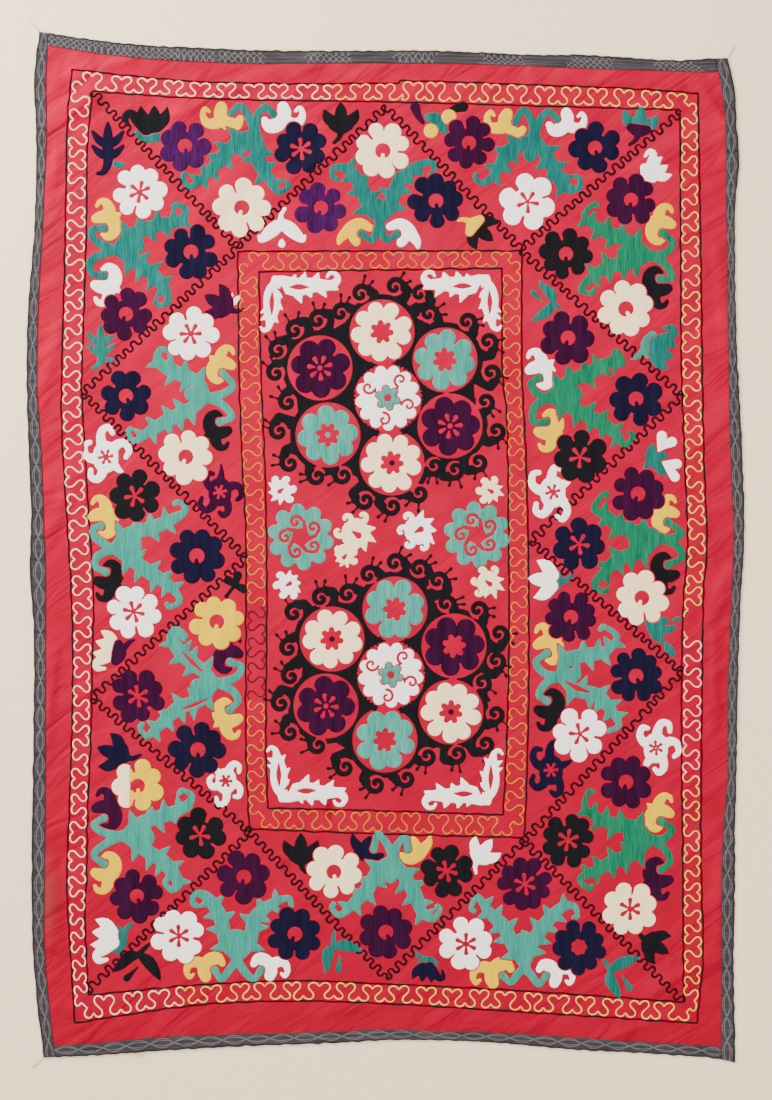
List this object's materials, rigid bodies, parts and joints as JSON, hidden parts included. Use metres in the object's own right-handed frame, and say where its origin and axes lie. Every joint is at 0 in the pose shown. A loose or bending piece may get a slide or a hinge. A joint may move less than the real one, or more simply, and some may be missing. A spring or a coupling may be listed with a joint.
{
  "type": "suzani embroidered textile",
  "caption": "Rectangular embroidered cotton hanging, laid flat, with woven edge tape and loose corner strings.",
  "frame": {"origin": "on the surface that the cloth lies on, under the middle of its tape-edged outline", "axes": "+Y up the cloth's length to its top edge, +X across it to the right, +Z out of its embroidered face"},
  "size_m": [1.5784, 2.3033, 0.0075],
  "materials": {
    "ground": "matte",
    "tape": "matte",
    "string": "matte"
  },
  "bodies": {
    "root": {"ground_cloth": "ground", "tape_left": "tape", "tape_right": "tape", "tape_top": "tape", "tape_bottom": "tape", "corner_string_top_left": "string", "corner_string_top_right": "string", "corner_string_bottom_left": "string"}
  },
  "joints": []
}
